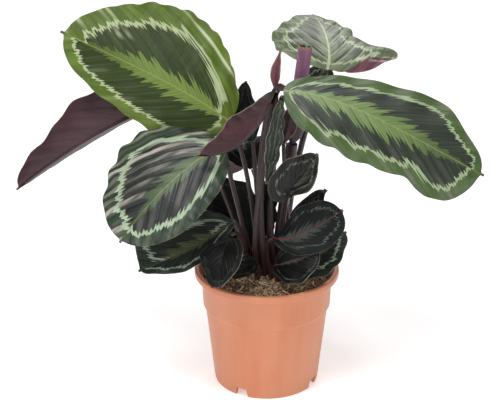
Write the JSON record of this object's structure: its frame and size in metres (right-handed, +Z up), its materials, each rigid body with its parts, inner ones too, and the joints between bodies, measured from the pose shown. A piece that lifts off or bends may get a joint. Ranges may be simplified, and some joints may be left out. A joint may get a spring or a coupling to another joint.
{
  "type": "potted calathea",
  "caption": "Leafy houseplant with broad dark-green leaves, pale feathered centres and purple undersides, on thin stalks in a tapered terracotta-coloured plastic pot.",
  "frame": {"origin": "centre of the pot's underside, on the floor it stands on", "axes": "+Z up along the pot's axis; -Y towards the side seen in the picture; +X to the right of that side"},
  "size_m": [0.3742, 0.1983, 0.3098],
  "materials": {
    "pot": "smooth satin plastic",
    "soil": "rough fibrous potting soil",
    "leaf_upper_left": "satin leaf, patterned above and purple below",
    "stalk_upper_left": "smooth dark maroon stalk",
    "leaf_far_left": "satin leaf, patterned above and purple below",
    "stalk_far_left": "smooth dark maroon stalk",
    "leaf_mid_left": "satin leaf, patterned above and purple below",
    "stalk_mid_left": "smooth dark maroon stalk",
    "leaf_low_left": "satin leaf, patterned above and purple below",
    "stalk_low_left": "smooth dark maroon stalk",
    "leaf_rim_left": "satin leaf, patterned above and purple below",
    "stalk_rim_left": "smooth dark maroon stalk",
    "leaf_centre_arch": "satin leaf, patterned above and purple below",
    "stalk_centre_arch": "smooth dark maroon stalk",
    "leaf_rolled": "satin leaf, patterned above and purple below",
    "stalk_rolled": "smooth dark maroon stalk",
    "leaf_right": "satin leaf, patterned above and purple below",
    "stalk_right": "smooth dark maroon stalk",
    "leaf_top_right": "satin leaf, patterned above and purple below",
    "stalk_top_right": "smooth dark maroon stalk",
    "leaf_behind_right": "satin leaf, patterned above and purple below",
    "stalk_behind_right": "smooth dark maroon stalk",
    "leaf_behind_left": "satin leaf, patterned above and purple below",
    "stalk_behind_left": "smooth dark maroon stalk",
    "leaf_hanging": "satin leaf, patterned above and purple below",
    "stalk_hanging": "smooth dark maroon stalk",
    "leaf_cupped": "satin leaf, patterned above and purple below",
    "stalk_cupped": "smooth dark maroon stalk",
    "leaf_front_right": "satin leaf, patterned above and purple below",
    "stalk_front_right": "smooth dark maroon stalk",
    "leaf_tucked_right": "satin leaf, patterned above and purple below",
    "stalk_tucked_right": "smooth dark maroon stalk",
    "leaf_soil_right": "satin leaf, patterned above and purple below",
    "stalk_soil_right": "smooth dark maroon stalk",
    "leaf_rim_right": "satin leaf, patterned above and purple below",
    "stalk_rim_right": "smooth dark maroon stalk",
    "leaf_dark_centre": "satin leaf, patterned above and purple below",
    "stalk_dark_centre": "smooth dark maroon stalk",
    "leaf_soil_left": "satin leaf, patterned above and purple below",
    "stalk_soil_left": "smooth dark maroon stalk",
    "leaf_back_low": "satin leaf, patterned above and purple below",
    "stalk_back_low": "smooth dark maroon stalk",
    "leaf_back": "satin leaf, patterned above and purple below",
    "stalk_back": "smooth dark maroon stalk",
    "leaf_spike": "satin leaf, patterned above and purple below",
    "stalk_spike": "smooth dark maroon stalk",
    "leaf_sheath": "satin leaf, patterned above and purple below",
    "stalk_sheath": "smooth dark maroon stalk"
  },
  "bodies": {
    "root": {"pot": "pot", "soil": "soil", "leaf_upper_left": "leaf_upper_left", "stalk_upper_left": "stalk_upper_left", "leaf_far_left": "leaf_far_left", "stalk_far_left": "stalk_far_left", "leaf_mid_left": "leaf_mid_left", "stalk_mid_left": "stalk_mid_left", "leaf_low_left": "leaf_low_left", "stalk_low_left": "stalk_low_left", "leaf_rim_left": "leaf_rim_left", "stalk_rim_left": "stalk_rim_left", "leaf_centre_arch": "leaf_centre_arch", "stalk_centre_arch": "stalk_centre_arch", "leaf_rolled": "leaf_rolled", "stalk_rolled": "stalk_rolled", "leaf_right": "leaf_right", "stalk_right": "stalk_right", "leaf_top_right": "leaf_top_right", "stalk_top_right": "stalk_top_right", "leaf_behind_right": "leaf_behind_right", "stalk_behind_right": "stalk_behind_right", "leaf_behind_left": "leaf_behind_left", "stalk_behind_left": "stalk_behind_left", "leaf_hanging": "leaf_hanging", "stalk_hanging": "stalk_hanging", "leaf_cupped": "leaf_cupped", "stalk_cupped": "stalk_cupped", "leaf_front_right": "leaf_front_right", "stalk_front_right": "stalk_front_right", "leaf_tucked_right": "leaf_tucked_right", "stalk_tucked_right": "stalk_tucked_right", "leaf_soil_right": "leaf_soil_right", "stalk_soil_right": "stalk_soil_right", "leaf_rim_right": "leaf_rim_right", "stalk_rim_right": "stalk_rim_right", "leaf_dark_centre": "leaf_dark_centre", "stalk_dark_centre": "stalk_dark_centre", "leaf_soil_left": "leaf_soil_left", "stalk_soil_left": "stalk_soil_left", "leaf_back_low": "leaf_back_low", "stalk_back_low": "stalk_back_low", "leaf_back": "leaf_back", "stalk_back": "stalk_back", "leaf_spike": "leaf_spike", "stalk_spike": "stalk_spike", "leaf_sheath": "leaf_sheath", "stalk_sheath": "stalk_sheath"}
  },
  "joints": []
}
